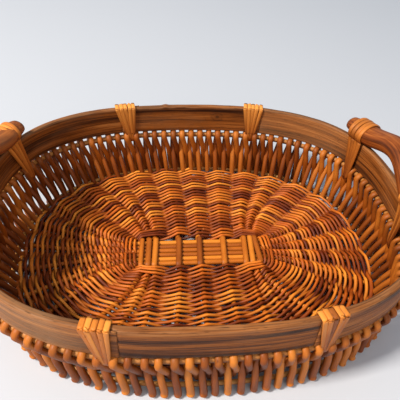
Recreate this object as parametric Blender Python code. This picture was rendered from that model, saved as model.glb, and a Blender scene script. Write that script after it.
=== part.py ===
"""Oval willow tray basket with a bent-wood rim and two lashed wooden handles.

Units are metres and +Z is up.  The ground is z = 0, where the stake feet stand.
X runs along the length, Y across the width, and the origin is under the rim's centre.
"""
import math

import bmesh
import bpy
from mathutils import Matrix, Vector

# Driving dimensions -------------------------------------------------------------------
GAP = 0.0003                    # clearance kept between touching pieces

RIM_HALF_LENGTH = 0.280         # outer face of the bent boards
RIM_HALF_WIDTH = 0.217
RIM_POWER = 2.6                 # superellipse power of the rim's plan
BOARD_THICKNESS = 0.0092
BOARD_BOTTOM = 0.089
BOARD_TOP = 0.133
BOARD_STEP = 0.024              # length of one straight piece of a bent board
SCARF_LENGTH = 0.036            # length over which two boards overlap under a lashing
SCARF_TIP = 0.0012              # thickness of a board's blunt tip

TOP_HOOP_RADIUS = 0.0038
STAKE_RADIUS = 0.00355
FOOT_HOOP_RADIUS = 0.0031
FOOT_HOOP_Z = 0.0095
FOOT_HALF_LENGTH = 0.2605       # centre line of the foot hoop
FOOT_HALF_WIDTH = 0.2035
BASE_POWER = 2.43               # superellipse power of the base's plan
BASE_SHIFT = 0.0065             # the base sits this far to +X of the rim, as the wall leans
FOOT_FLARE = 0.0025             # the feet spread this far below the foot hoop
FOOT_TRIM = 0.003               # cut off below the ground so that every foot stands flat

STAKE_COUNT = 104               # hairpin stakes round the wall
STAKES_PER_PANEL = 4
OWN_LEG_SHARE = 0.555           # the two legs of a hairpin are this share of a pitch apart
PANEL_SQUEEZE = 0.982           # a panel's stakes are drawn together so their legs touch
SPREAD_DROP = 0.36              # the legs of a hairpin are fully apart this far down

BASE_HALF_LENGTH = 0.2485       # outer edge of the woven base
BASE_HALF_WIDTH = 0.1918
BASE_Z = 0.0105                 # middle plane of the base sticks
WEAVE_HALF_HEIGHT = 0.0088
WINDOW_HALF_LENGTH = 0.0945     # first round of weaving, round the crossed sticks
WINDOW_SHIFT = 0.0030           # the crossed sticks sit this far to +X of the base's middle
WINDOW_HALF_WIDTH = 0.0310
WINDOW_POWER = 12.0
WEAVE_SPLIT = 0.50              # share of the weaving's width where its outer ring begins
WEAVE_SPLIT_GAP = 0.002         # half the gap between the rings, as a share of that width
WEAVE_STEPS = 60                # straight pieces round a ring of weaving

CROSS_STICK_X = (-0.083, -0.0725, -0.063, -0.0285, 0.002, 0.0375, 0.069, 0.0786, 0.0876)
CROSS_STICK_RADIUS = 0.0041
CROSS_STICK_SWELL = 1.95        # height of a split stick over its own thickness
SWELL_RUN = 0.0030              # length over which the split closes again
LONG_STICK_COUNT = 6
LONG_STICK_PITCH = 0.0080
LONG_STICK_RADIUS = 0.0035
ARM_STEPS = 3                   # straight pieces in each fanned arm of a stick
TUNNEL_CLEARANCE = 0.00035      # round each stick where the weaving grips it
STICK_TIP_SHARE = 0.75          # radius of a stick at its tip over that in the middle

HANDLE_CENTRE_Y = 0.031
HANDLE_SKEW = 0.003             # the right handle sits this far further back, the left forward
HANDLE_HALF_LENGTH = 0.105
HANDLE_MIDDLE_X = 0.2804
HANDLE_BOW = 0.0237             # how far the ends lie inside the middle
HANDLE_TURN = 0.0080            # the back end lies this much further in, and the front out
HANDLE_ARCH_HALF_SPAN = 0.0735
HANDLE_RISE = 0.0170            # finger gap under the middle of the arch
HANDLE_TIP_SHARE = 0.72         # radius at the tips over that in the middle
HANDLE_HALF_WIDTH = 0.0180
HANDLE_HALF_HEIGHT = 0.0128

LASHING_THICKNESS = 0.0030
LASHING_TAIL_WIDTH = 0.0032     # where the strands draw together under the hoop
LASHING_SLACK = 0.0032          # round a handle, which leans a little across its band
BOARD_LASHING_WIDTH = 0.030
HANDLE_LASHING_WIDTH = 0.024
BACK_LEFT_LASHING_X = -0.093    # middle of the lashings on the back board
BACK_RIGHT_LASHING_X = 0.108
FRONT_LEFT_LASHING_X = -0.108   # and of the two on the front board
FRONT_RIGHT_LASHING_X = 0.1233
HANDLE_LASHING_RIGHT_BACK_Y = 0.106
HANDLE_LASHING_LEFT_BACK_Y = 0.1196
HANDLE_LASHING_FRONT_Y = -0.0464

# Worked out from them -----------------------------------------------------------------
BOARD_LINE = BOARD_THICKNESS / 2
TOP_HOOP_Z = BOARD_BOTTOM - 2 * GAP - 2 * STAKE_RADIUS - TOP_HOOP_RADIUS
STRADDLE = TOP_HOOP_RADIUS + STAKE_RADIUS + 2 * GAP
FOOT_STRADDLE = FOOT_HOOP_RADIUS + STAKE_RADIUS + 4 * GAP
HANDLE_END_Z = BOARD_TOP + GAP + HANDLE_HALF_HEIGHT
SPOKE_COUNT = 2 * len(CROSS_STICK_X) + 2 * LONG_STICK_COUNT


# Collections, materials and small helpers ---------------------------------------------
def clear_scene():
    for item in list(bpy.data.objects):
        bpy.data.objects.remove(item, do_unlink=True)


def new_collection(name):
    collection = bpy.data.collections.new(name)
    bpy.context.scene.collection.children.link(collection)
    return collection


def wood(name, colour, roughness):
    material = bpy.data.materials.new(name)
    material.use_nodes = True
    shader = material.node_tree.nodes["Principled BSDF"]
    shader.inputs["Base Color"].default_value = (*colour, 1.0)
    shader.inputs["Roughness"].default_value = roughness
    shader.inputs["Metallic"].default_value = 0.0
    return material


def superellipse(half_length, half_width, power, angle):
    c = math.cos(angle)
    s = math.sin(angle)
    x = half_length * math.copysign(abs(c) ** (2 / power), c)
    y = half_width * math.copysign(abs(s) ** (2 / power), s)
    return Vector((x, y, 0.0))


class Outline:
    """A closed superellipse in plan, read by share of its length from +Y, clockwise."""

    SAMPLES = 1440

    def __init__(self, half_length, half_width, power, shift=0.0):
        self.points = []
        for i in range(self.SAMPLES + 1):
            angle = math.pi / 2 - 2 * math.pi * i / self.SAMPLES
            point = superellipse(half_length, half_width, power, angle)
            self.points.append(point + Vector((shift, 0.0, 0.0)))
        self.lengths = [0.0]
        for a, b in zip(self.points, self.points[1:]):
            self.lengths.append(self.lengths[-1] + (b - a).length)
        self.total = self.lengths[-1]

    def at(self, share):
        target = (share % 1.0) * self.total
        low = 0
        high = self.SAMPLES
        while high - low > 1:
            middle = (low + high) // 2
            if self.lengths[middle] <= target:
                low = middle
            else:
                high = middle
        part = (target - self.lengths[low]) / max(self.lengths[high] - self.lengths[low], 1e-12)
        return self.points[low].lerp(self.points[high], part)

    def tangent(self, share):
        step = 0.5 / self.SAMPLES
        return (self.at(share + step) - self.at(share - step)).normalized()

    def normal(self, share):
        along = self.tangent(share)
        return Vector((-along.y, along.x, 0.0))

    def frame(self, share, height):
        """Axes standing on the outline: X up, Y along it and Z out of it."""
        out = self.normal(share)
        along = self.tangent(share)
        point = self.at(share)
        return Matrix((
            (0.0, along.x, out.x, point.x),
            (0.0, along.y, out.y, point.y),
            (1.0, 0.0, 0.0, height),
            (0.0, 0.0, 0.0, 1.0),
        ))

    def share_near(self, x, y):
        target = Vector((x, y, 0.0))
        distances = [(point - target).length for point in self.points]
        return self.lengths[distances.index(min(distances))] / self.total


def link(obj, material):
    obj.data.materials.clear()
    obj.data.materials.append(material)
    BASKET.objects.link(obj)
    return obj


def rod_curve(name, splines, radius, resolution, cyclic=False, frame=None):
    """A curve of round rods; every point is (position, share of the radius).

    The points are world places.  The curve is built in its own frame, if one is given.
    """
    frame = frame or Matrix.Identity(4)
    to_local = frame.inverted()
    data = bpy.data.curves.new(name, "CURVE")
    data.dimensions = "3D"
    data.twist_mode = "MINIMUM"
    data.bevel_depth = radius
    data.bevel_resolution = resolution
    data.use_fill_caps = not cyclic
    for points in splines:
        spline = data.splines.new("POLY")
        spline.points.add(len(points) - 1)
        spline.use_cyclic_u = cyclic
        for slot, (position, share) in zip(spline.points, points):
            slot.co = (*(to_local @ position), 1.0)
            slot.radius = share
    result = bpy.data.objects.new(name, data)
    result.matrix_world = frame
    return result


def as_mesh(curve_object, name):
    """Turn a curve into a mesh with its caps welded on."""
    bpy.context.scene.collection.objects.link(curve_object)
    evaluated = curve_object.evaluated_get(bpy.context.evaluated_depsgraph_get())
    mesh = bpy.data.meshes.new_from_object(evaluated)
    work = bmesh.new()
    work.from_mesh(mesh)
    bmesh.ops.remove_doubles(work, verts=work.verts, dist=1e-5)
    bmesh.ops.recalc_face_normals(work, faces=work.faces)
    work.to_mesh(mesh)
    work.free()
    placing = curve_object.matrix_world.copy()
    bpy.data.objects.remove(curve_object, do_unlink=True)
    mesh.name = name
    result = bpy.data.objects.new(name, mesh)
    result.matrix_world = placing
    return result


def cutter(obj):
    obj.hide_render = True
    obj.display_type = "WIRE"
    CUTTERS.objects.link(obj)
    return obj


def boolean(obj, other, operation):
    modifier = obj.modifiers.new(operation.title(), "BOOLEAN")
    modifier.operation = operation
    modifier.solver = "EXACT"
    modifier.object = other


def box(name, size, centre):
    mesh = bpy.data.meshes.new(name)
    work = bmesh.new()
    bmesh.ops.create_cube(work, size=1.0)
    bmesh.ops.scale(work, vec=size, verts=work.verts)
    work.to_mesh(mesh)
    work.free()
    result = bpy.data.objects.new(name, mesh)
    result.location = centre
    return result


def plate(name, outlines, thickness):
    """Closed outlines in a plane, filled between and thickened both ways."""
    data = bpy.data.curves.new(name, "CURVE")
    data.dimensions = "2D"
    data.fill_mode = "BOTH"
    data.extrude = thickness / 2
    for outline in outlines:
        spline = data.splines.new("POLY")
        spline.points.add(len(outline) - 1)
        spline.use_cyclic_u = True
        for slot, (x, y) in zip(spline.points, outline):
            slot.co = (x, y, 0.0, 1.0)
    return as_mesh(bpy.data.objects.new(name, data), name)


# Rim: four bent boards scarfed together -----------------------------------------------
def board(name, outline, start, end, outside, material):
    """One board from share start to share end, its tips cut back to a scarf.

    An outside board keeps its outer face to the very tip, an inside board its inner one.
    Each tip is blunt, and lies in a small step of the board that it meets.
    """
    gap = GAP / outline.total
    scarf = SCARF_LENGTH / outline.total
    first = start - scarf / 2 + gap
    last = end + scarf / 2 - gap
    full_from = start + scarf / 2 + gap
    full_to = end - scarf / 2 - gap
    thin = BOARD_THICKNESS - SCARF_TIP - GAP
    steps = int((full_to - full_from) * outline.total / BOARD_STEP)
    section = [(first, SCARF_TIP), (full_from - gap, thin)]
    for i in range(steps + 1):
        section.append((full_from + (full_to - full_from) * i / steps, BOARD_THICKNESS))
    section += [(full_to + gap, thin), (last, SCARF_TIP)]
    half = BOARD_THICKNESS / 2
    outer = []
    inner = []
    for share, thickness in section:
        point = outline.at(share)
        out = outline.normal(share)
        if outside:
            outer.append(point + out * half)
            inner.append(point + out * (half - thickness))
        else:
            outer.append(point + out * (thickness - half))
            inner.append(point - out * half)
    loop = [(p.x, p.y) for p in outer] + [(p.x, p.y) for p in reversed(inner)]
    obj = plate(name, [loop], BOARD_TOP - BOARD_BOTTOM)
    obj.location.z = (BOARD_TOP + BOARD_BOTTOM) / 2
    return link(obj, material)


def build_rim(material):
    outline = hoop_outline()
    back_left = snap_share(outline, BACK_LEFT_LASHING_X, RIM_HALF_WIDTH)
    back_right = snap_share(outline, BACK_RIGHT_LASHING_X, RIM_HALF_WIDTH)
    front_right = snap_share(outline, FRONT_RIGHT_LASHING_X, -RIM_HALF_WIDTH)
    front_left = snap_share(outline, FRONT_LEFT_LASHING_X, -RIM_HALF_WIDTH)
    board("rim_board_back", outline, back_left - 1.0, back_right, False, material)
    board("rim_board_right_end", outline, back_right, front_right, True, material)
    board("rim_board_front", outline, front_right, front_left, False, material)
    board("rim_board_left_end", outline, front_left, back_left, True, material)


# Wall: hairpin stakes looped over the top hoop and straddling the foot hoop -----------
def hoop_outline():
    return Outline(RIM_HALF_LENGTH - BOARD_LINE, RIM_HALF_WIDTH - BOARD_LINE, RIM_POWER)


def foot_outline():
    return Outline(FOOT_HALF_LENGTH, FOOT_HALF_WIDTH, BASE_POWER, BASE_SHIFT)


def snap_share(outline, x, y):
    """The share nearest a point that falls midway between two hairpins."""
    share = outline.share_near(x, y)
    return round(share * STAKE_COUNT) / STAKE_COUNT


def hoop(name, outline, height, radius, count, material):
    points = []
    for i in range(count):
        point = outline.at(i / count)
        points.append((Vector((point.x, point.y, height)), 1.0))
    curve = rod_curve(name, [points], radius, 1, cyclic=True)
    return link(as_mesh(curve, name), material)


def hairpin(top, foot, share):
    """Centre line of one stake, from its inner tip over the hoop to its outer foot."""
    pitch = 1.0 / STAKE_COUNT
    side = OWN_LEG_SHARE / 2 * pitch

    def wall(drop, offset, along):
        """A point a share of the way down, off the wall's middle and shifted along it."""
        high = top.at(share + along)
        low = foot.at(share + along)
        out = top.normal(share + along)
        point = high.lerp(low, drop) + out * offset
        point.z = TOP_HOOP_Z + (FOOT_HOOP_Z - TOP_HOOP_Z) * drop
        return point

    slant = STRADDLE + (-FOOT_STRADDLE - STRADDLE) * SPREAD_DROP
    loop_lift = Vector((0.0, 0.0, STRADDLE * 0.93))
    ground = wall(1.0, FOOT_STRADDLE + FOOT_FLARE, side)
    ground.z = -FOOT_TRIM
    points = [
        wall(0.97, -FOOT_STRADDLE, -side),
        wall(SPREAD_DROP, slant, -side),
        wall(0.0, STRADDLE, 0.0),
        wall(0.0, STRADDLE * 0.50, 0.0) + loop_lift,
        wall(0.0, -STRADDLE * 0.50, 0.0) + loop_lift,
        wall(0.0, -STRADDLE, 0.0),
        wall(SPREAD_DROP, -slant, side),
        ground,
    ]
    return [(point, 1.0) for point in points]


def build_wall(stake_material, hoop_material):
    top = hoop_outline()
    foot = foot_outline()
    hoop("top_hoop", top, TOP_HOOP_Z, TOP_HOOP_RADIUS, 72, hoop_material)
    hoop("foot_hoop", foot, FOOT_HOOP_Z, FOOT_HOOP_RADIUS, 64, hoop_material)
    trim_size = (4 * RIM_HALF_LENGTH, 4 * RIM_HALF_WIDTH, 4 * FOOT_TRIM)
    trimmer = cutter(box("below_ground", trim_size, (0.0, 0.0, -2 * FOOT_TRIM)))
    for panel in range(STAKE_COUNT // STAKES_PER_PANEL):
        name = f"wall_stakes_{panel + 1:02d}"
        centre = (panel + 0.5) * STAKES_PER_PANEL
        sets = [[], []]
        for i in range(STAKES_PER_PANEL):
            place = panel * STAKES_PER_PANEL + i + 0.5
            share = (centre + (place - centre) * PANEL_SQUEEZE) / STAKE_COUNT
            sets[i % 2].append(hairpin(top, foot, share))
        frame = top.frame(centre / STAKE_COUNT, TOP_HOOP_Z)
        even = as_mesh(rod_curve(name, sets[0], STAKE_RADIUS, 0, frame=frame), name)
        odd = as_mesh(rod_curve(name, sets[1], STAKE_RADIUS, 0, frame=frame), name + "_odd")
        cutter(odd)
        boolean(even, odd, "UNION")
        boolean(even, trimmer, "DIFFERENCE")
        link(even, stake_material)


# Handles: two stout bent sticks standing on the end boards ----------------------------
def handle_middle(side):
    return HANDLE_CENTRE_Y + side * HANDLE_SKEW


def handle_place(side, y):
    """The point of a handle's centre line at a given Y."""
    along = y - handle_middle(side)
    share = along / HANDLE_HALF_LENGTH
    x = HANDLE_MIDDLE_X - HANDLE_BOW * share * share - HANDLE_TURN * share
    arch = 0.5 + 0.5 * math.cos(math.pi * min(1.0, abs(along) / HANDLE_ARCH_HALF_SPAN))
    return Vector((side * x, y, HANDLE_END_Z + HANDLE_RISE * arch))


def handle(name, side, material):
    steps = 16
    points = []
    for i in range(steps + 1):
        y = handle_middle(side) + HANDLE_HALF_LENGTH * (2 * i / steps - 1)
        edge = HANDLE_TIP_SHARE if i in (0, steps) else 1.0
        points.append((handle_place(side, y), edge))
    curve = rod_curve(name, [points], HANDLE_HALF_WIDTH, 2)
    obj = as_mesh(curve, name)
    flat = HANDLE_HALF_HEIGHT / HANDLE_HALF_WIDTH
    for vertex in obj.data.vertices:
        middle = handle_place(side, vertex.co.y).z
        vertex.co.z = middle + (vertex.co.z - middle) * flat
    return link(obj, material)


# Lashings: willow strands bound round the boards, the hoop and the handles ------------
def lashing(name, outline, share, width, loop, inner_loop, material):
    """A closed band round what it binds, drawn to a narrow tail at the bottom."""
    obj = plate(name, [loop, inner_loop], width)
    stand = outline.frame(share, 0.0)
    turn = Matrix(((0, 1, 0, 0), (0, 0, 1, 0), (1, 0, 0, 0), (0, 0, 0, 1)))
    for vertex in obj.data.vertices:
        rise = (vertex.co.y - BOARD_BOTTOM - GAP) / (BOARD_TOP - BOARD_BOTTOM)
        spread = min(1.0, max(0.0, rise))
        wide = LASHING_TAIL_WIDTH + (width - LASHING_TAIL_WIDTH) * spread
        vertex.co.z *= wide / width
    obj.matrix_world = stand @ turn
    return link(obj, material)


def grown(inside, thickness):
    """A loop of (offset, height) points, grown all round by a thickness."""
    loop = []
    count = len(inside)
    for i in range(count):
        before = Vector(inside[i - 1])
        here = Vector(inside[i])
        after = Vector(inside[(i + 1) % count])
        one = (here - before).normalized()
        two = (after - here).normalized()
        normal = Vector((one.y + two.y, -one.x - two.x)).normalized()
        stretch = 1.0 / max(0.5, normal.dot(Vector((one.y, -one.x))))
        loop.append(tuple(here + normal * thickness * stretch))
    return loop


def board_band():
    """Round the board and under the top hoop, as (offset, height) points."""
    side = BOARD_THICKNESS / 2 + 2 * GAP
    low = TOP_HOOP_Z - TOP_HOOP_RADIUS - 2 * GAP
    hoop_side = TOP_HOOP_RADIUS + 2 * GAP
    return [
        (-hoop_side * 0.6, low),
        (hoop_side * 0.6, low),
        (hoop_side + GAP, TOP_HOOP_Z - TOP_HOOP_RADIUS * 0.4),
        (side, BOARD_BOTTOM),
        (side, BOARD_TOP + 2 * GAP),
        (-side, BOARD_TOP + 2 * GAP),
        (-side, BOARD_BOTTOM),
        (-hoop_side - GAP, TOP_HOOP_Z - TOP_HOOP_RADIUS * 0.4),
    ]


def handle_band(offset):
    """Round a handle, the board under it and the top hoop."""
    side = BOARD_THICKNESS / 2 + 2 * GAP
    low = TOP_HOOP_Z - TOP_HOOP_RADIUS - 2 * GAP
    hoop_side = TOP_HOOP_RADIUS + 2 * GAP
    wide = HANDLE_HALF_WIDTH + LASHING_SLACK
    tall = HANDLE_HALF_HEIGHT + LASHING_SLACK
    points = [
        (-hoop_side * 0.6, low),
        (hoop_side * 0.6, low),
        (hoop_side + GAP, TOP_HOOP_Z - TOP_HOOP_RADIUS * 0.4),
        (side, BOARD_BOTTOM),
    ]
    for step in range(9):
        angle = math.radians(-30 + step * 30)
        x = offset + wide * math.cos(angle) / math.cos(math.radians(15))
        z = HANDLE_END_Z + tall * math.sin(angle) / math.cos(math.radians(15))
        points.append((x, z))
    points += [
        (-side, BOARD_BOTTOM),
        (-hoop_side - GAP, TOP_HOOP_Z - TOP_HOOP_RADIUS * 0.4),
    ]
    return points


def build_lashings(material):
    outline = hoop_outline()
    inside = board_band()
    outside = grown(inside, LASHING_THICKNESS)
    for name, x, y in (
        ("board_lashing_back_right", BACK_RIGHT_LASHING_X, RIM_HALF_WIDTH),
        ("board_lashing_back_left", BACK_LEFT_LASHING_X, RIM_HALF_WIDTH),
        ("board_lashing_front_right", FRONT_RIGHT_LASHING_X, -RIM_HALF_WIDTH),
        ("board_lashing_front_left", FRONT_LEFT_LASHING_X, -RIM_HALF_WIDTH),
    ):
        share = snap_share(outline, x, y)
        lashing(name, outline, share, BOARD_LASHING_WIDTH, outside, inside, material)
    for name, side, y in (
        ("handle_lashing_right_back", 1, HANDLE_LASHING_RIGHT_BACK_Y),
        ("handle_lashing_right_front", 1, HANDLE_LASHING_FRONT_Y),
        ("handle_lashing_left_back", -1, HANDLE_LASHING_LEFT_BACK_Y),
        ("handle_lashing_left_front", -1, HANDLE_LASHING_FRONT_Y),
    ):
        target = handle_place(side, y)
        share = snap_share(outline, target.x, y)
        foot = outline.at(share)
        across = handle_place(side, foot.y) - foot
        offset = across.dot(outline.normal(share))
        inside = handle_band(offset)
        outside = grown(inside, LASHING_THICKNESS)
        lashing(name, outline, share, HANDLE_LASHING_WIDTH, outside, inside, material)


# Base: split cross sticks, threaded long sticks and rounds of weaving -----------------
class Between:
    """The outline a share of the way from one outline to another."""

    def __init__(self, inner, outer, share):
        self.inner = inner
        self.outer = outer
        self.share = share

    def at(self, share):
        return self.inner.at(share).lerp(self.outer.at(share), self.share)


def base_outline(inset=0.0):
    return Outline(BASE_HALF_LENGTH - inset, BASE_HALF_WIDTH - inset, BASE_POWER, BASE_SHIFT)


def stick_line(middle, start_tip, end_tip):
    """Centre line of a base stick: straight in the window, fanned out to its two tips."""
    first = middle[0]
    last = middle[-1]
    points = []
    for tip, corner in ((start_tip, first), (end_tip, last)):
        arm = []
        along = (last - first).normalized() * (1 if corner is last else -1)
        reach = (tip - corner).length
        bend = corner + along * reach * 0.30
        for i in range(1, ARM_STEPS + 1):
            t = i / ARM_STEPS
            a = corner.lerp(bend, t)
            b = bend.lerp(tip, t)
            arm.append((a.lerp(b, t), 1.0 + (STICK_TIP_SHARE - 1.0) * t))
        points.append(arm)
    return list(reversed(points[0])) + [(p, 1.0) for p in middle] + points[1]


def build_base_sticks(material):
    """Nine cross sticks, each split to let the six long sticks through."""
    edge = base_outline(inset=0.004)
    slot_height = 2 * (LONG_STICK_RADIUS + 2 * GAP)
    slot_width = (LONG_STICK_COUNT - 1) * LONG_STICK_PITCH + 2 * LONG_STICK_RADIUS + 4 * GAP
    swell_end = slot_width / 2 + 0.0014
    lines = []
    for i, x in enumerate(CROSS_STICK_X):
        turn = (i - (len(CROSS_STICK_X) - 1) / 2) / SPOKE_COUNT
        places = (-swell_end - SWELL_RUN, -swell_end, swell_end, swell_end + SWELL_RUN)
        middle = [Vector((BASE_SHIFT + x, y, BASE_Z)) for y in places]
        front_tip = edge.at(0.5 - turn) + Vector((0, 0, BASE_Z))
        back_tip = edge.at(turn) + Vector((0, 0, BASE_Z))
        line = stick_line(middle, front_tip, back_tip)
        lines.append((f"base_cross_stick_{i + 1}", line, CROSS_STICK_RADIUS))
        stick = as_mesh(rod_curve("cross", [line], CROSS_STICK_RADIUS, 1), lines[-1][0])
        for vertex in stick.data.vertices:
            if abs(vertex.co.y) < swell_end + GAP:
                vertex.co.z = BASE_Z + (vertex.co.z - BASE_Z) * CROSS_STICK_SWELL
        slot_size = (4 * CROSS_STICK_RADIUS, slot_width, slot_height)
        slot = box(f"slot_{i + 1}", slot_size, (BASE_SHIFT + x, 0.0, BASE_Z))
        boolean(stick, cutter(slot), "DIFFERENCE")
        link(stick, material)
    for i in range(LONG_STICK_COUNT):
        turn = (i - (LONG_STICK_COUNT - 1) / 2) / SPOKE_COUNT
        y = -turn * SPOKE_COUNT * LONG_STICK_PITCH
        places = (-WINDOW_HALF_LENGTH, 0.0, WINDOW_HALF_LENGTH)
        middle = [Vector((BASE_SHIFT + WINDOW_SHIFT + x, y, BASE_Z)) for x in places]
        left_tip = edge.at(0.75 - turn) + Vector((0, 0, BASE_Z))
        right_tip = edge.at(0.25 + turn) + Vector((0, 0, BASE_Z))
        line = stick_line(middle, left_tip, right_tip)
        lines.append((f"base_long_stick_{i + 1}", line, LONG_STICK_RADIUS))
        stick = as_mesh(rod_curve("long", [line], LONG_STICK_RADIUS, 1), lines[-1][0])
        link(stick, material)
    return lines


def weave_ring(name, inner, outer, lines, material):
    """The rounds of weaving between two outlines, with a tunnel for every stick."""
    shares = [i / WEAVE_STEPS for i in range(WEAVE_STEPS)]
    loops = [[tuple(outline.at(share).to_2d()) for share in shares] for outline in (outer, inner)]
    ring = plate(name, loops, 2 * WEAVE_HALF_HEIGHT)
    ring.location.z = BASE_Z
    for number, (_, line, radius) in enumerate(lines):
        tunnel = rod_curve("tunnel", [line], radius + TUNNEL_CLEARANCE, 1)
        tool = as_mesh(tunnel, f"{name}_tunnel_{number + 1}")
        boolean(ring, cutter(tool), "DIFFERENCE")
    link(ring, material)


def build_base(stick_material, weave_material):
    lines = build_base_sticks(stick_material)
    middle = BASE_SHIFT + WINDOW_SHIFT
    window = Outline(WINDOW_HALF_LENGTH, WINDOW_HALF_WIDTH, WINDOW_POWER, middle)
    rim = base_outline()
    split_inner = Between(window, rim, WEAVE_SPLIT - WEAVE_SPLIT_GAP)
    split_outer = Between(window, rim, WEAVE_SPLIT + WEAVE_SPLIT_GAP)
    weave_ring("base_weave_inner", window, split_inner, lines, weave_material)
    weave_ring("base_weave_outer", split_outer, rim, lines, weave_material)


clear_scene()
BASKET = new_collection("willow_tray_basket")
CUTTERS = new_collection("cutters")
WILLOW = wood("willow", (0.40, 0.17, 0.05), 0.55)
PALE_WILLOW = wood("pale_willow", (0.58, 0.30, 0.10), 0.5)
RIM_WOOD = wood("rim_wood", (0.16, 0.075, 0.035), 0.6)
HANDLE_WOOD = wood("handle_wood", (0.17, 0.06, 0.03), 0.45)

build_rim(RIM_WOOD)
build_wall(WILLOW, PALE_WILLOW)
handle("handle_right", 1, HANDLE_WOOD)
handle("handle_left", -1, HANDLE_WOOD)
build_lashings(PALE_WILLOW)
build_base(PALE_WILLOW, WILLOW)
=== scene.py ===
"""The finished look of an oval willow tray basket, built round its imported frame.

Metres, +Z up.  X runs along the basket's length and Y across it.
"""

import math

import bpy
import numpy as np
from mathutils import Matrix, Vector


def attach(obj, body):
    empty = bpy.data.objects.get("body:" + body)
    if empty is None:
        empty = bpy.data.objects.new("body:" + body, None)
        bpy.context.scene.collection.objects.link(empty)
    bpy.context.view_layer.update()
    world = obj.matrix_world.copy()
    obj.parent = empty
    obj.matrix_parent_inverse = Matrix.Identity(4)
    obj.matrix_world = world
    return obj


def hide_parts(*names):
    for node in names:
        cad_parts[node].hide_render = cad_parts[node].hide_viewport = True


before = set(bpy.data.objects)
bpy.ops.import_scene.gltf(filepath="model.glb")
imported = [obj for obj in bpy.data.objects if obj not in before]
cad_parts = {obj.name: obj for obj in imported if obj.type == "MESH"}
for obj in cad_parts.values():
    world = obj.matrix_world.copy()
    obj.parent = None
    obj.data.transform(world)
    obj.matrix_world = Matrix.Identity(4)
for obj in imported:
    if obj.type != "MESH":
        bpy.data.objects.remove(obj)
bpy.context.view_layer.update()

# Dimensions ---------------------------------------------------------------------------
# Most repeat the CAD's. These differ a little from it, for the finished look: the boards'
# bottoms, scarfs, top hoop, wall rods, base sticks, window, handles and lashings.
RIM_HALF_LENGTH = 0.280
RIM_HALF_WIDTH = 0.217
RIM_POWER = 2.6
BOARD_THICKNESS = 0.0092
BOARD_BOTTOM = 0.0876
BOARD_TOP = 0.133
SCARF_LENGTH = 0.030
SCARF_TIP = 0.0006
TOP_HOOP_Z = 0.0775
TOP_HOOP_RADIUS = 0.0041
STAKE_RADIUS = 0.0041
FOOT_HOOP_RADIUS = 0.0031
FOOT_HOOP_Z = 0.0095
FOOT_HALF_LENGTH = 0.2605
FOOT_HALF_WIDTH = 0.2035
STRADDLE = 0.00795
FOOT_STRADDLE = 0.00785
BASE_HALF_LENGTH = 0.2485
BASE_HALF_WIDTH = 0.1918
BASE_POWER = 2.43
BASE_SHIFT = 0.0065
BASE_Z = 0.0105
BASE_EDGE_INSET = 0.004           # the sticks' tips stop this far inside the base's edge
STAKE_COUNT = 104
STAKES_PER_PANEL = 4
WINDOW_HALF_LENGTH = 0.0935
WINDOW_SHIFT = 0.0030             # the window lies this far to +X of the base
WINDOW_HALF_WIDTH = 0.0295
WINDOW_POWER = 8.0
CROSS_STICK_X = (-0.083, -0.0725, -0.063, -0.0285, 0.002, 0.0375, 0.069, 0.0786, 0.0876)
LONG_STICK_COUNT = 6
LONG_STICK_PITCH = 0.0080
LONG_STICK_RADIUS = 0.00385
CROSS_STICK_RADIUS = 0.0040
SPLIT_HALF_LENGTH = 0.0285        # a cross stick is split this far either side of its middle
CROSS_ARM_START = 0.0240          # its arms start this far from its middle
LONG_ARM_OVERLAP = 0.010          # a long stick's arms start this far inside the window's ends
ARM_SAMPLES = 40
SPOKE_COUNT = 2 * len(CROSS_STICK_X) + 2 * LONG_STICK_COUNT
HALF_TURN = SPOKE_COUNT // 2      # arms from the back round to the front
QUARTER_TURN = SPOKE_COUNT / 4
MIDDLE_CROSS_STICK = (len(CROSS_STICK_X) - 1) // 2
MIDDLE_LONG_STICK = (LONG_STICK_COUNT - 1) / 2
HANDLE_CENTRE_Y = 0.031
HANDLE_SKEW = 0.003
HANDLE_HALF_LENGTH = 0.105
HANDLE_MIDDLE_X = 0.2804
HANDLE_BOW = 0.0237
HANDLE_TURN = 0.0080
HANDLE_ARCH_HALF_SPAN = 0.0735
HANDLE_RISE = 0.0170
HANDLE_END_Z = 0.1461
HANDLE_LIFT = 0.0010
HANDLE_RADIUS = 0.0186
HANDLE_FLAT = 0.74                # a handle's height as a share of its width
HANDLE_TAPER_START = 0.032        # it begins to narrow this far from its ends,
HANDLE_TAPER_RUN = 0.030          # over this length,
HANDLE_TAPER = 0.36               # by this share
HANDLE_LASHING_RIGHT_BACK_Y = 0.106
HANDLE_LASHING_LEFT_BACK_Y = 0.1196
HANDLE_LASHING_FRONT_Y = -0.0464
BACK_LEFT_LASHING_X = -0.093
BACK_RIGHT_LASHING_X = 0.108
FRONT_LEFT_LASHING_X = -0.108
FRONT_RIGHT_LASHING_X = 0.1233
BOARD_LASHING_WIDTH = 0.032
BOARD_LASHING_STRANDS = 5
HANDLE_LASHING_WIDTH = 0.026
HANDLE_LASHING_STRANDS = 4
HANDLE_LASHING_DROP = 0.010       # it hangs this far under the hoop
JOINT_GAP = 0.0003                # between two scarfed boards
KNOT_X = 0.050                    # a knot in the back board
KNOT_Z = 0.115

# The wall rods ------------------------------------------------------------------------
LEG_SPREAD = 0.555                # a rod's two legs part by this share of the rods' pitch
CROWN_HEIGHT = 0.88               # a loop's height over the hoop's middle, by its half width
CROWN_SWELL = 0.12                # a rod is this much thicker where it bends over the hoop,
CROWN_FLAT = 0.20                 # this much flatter there,
FOOT_SWELL = 0.16                 # and this much thicker at its outer foot
FOOT_SWELL_TOP = 0.06
FOOT_LOWEST = 0.0036              # keeps the foot's rounded end clear of the floor

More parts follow.
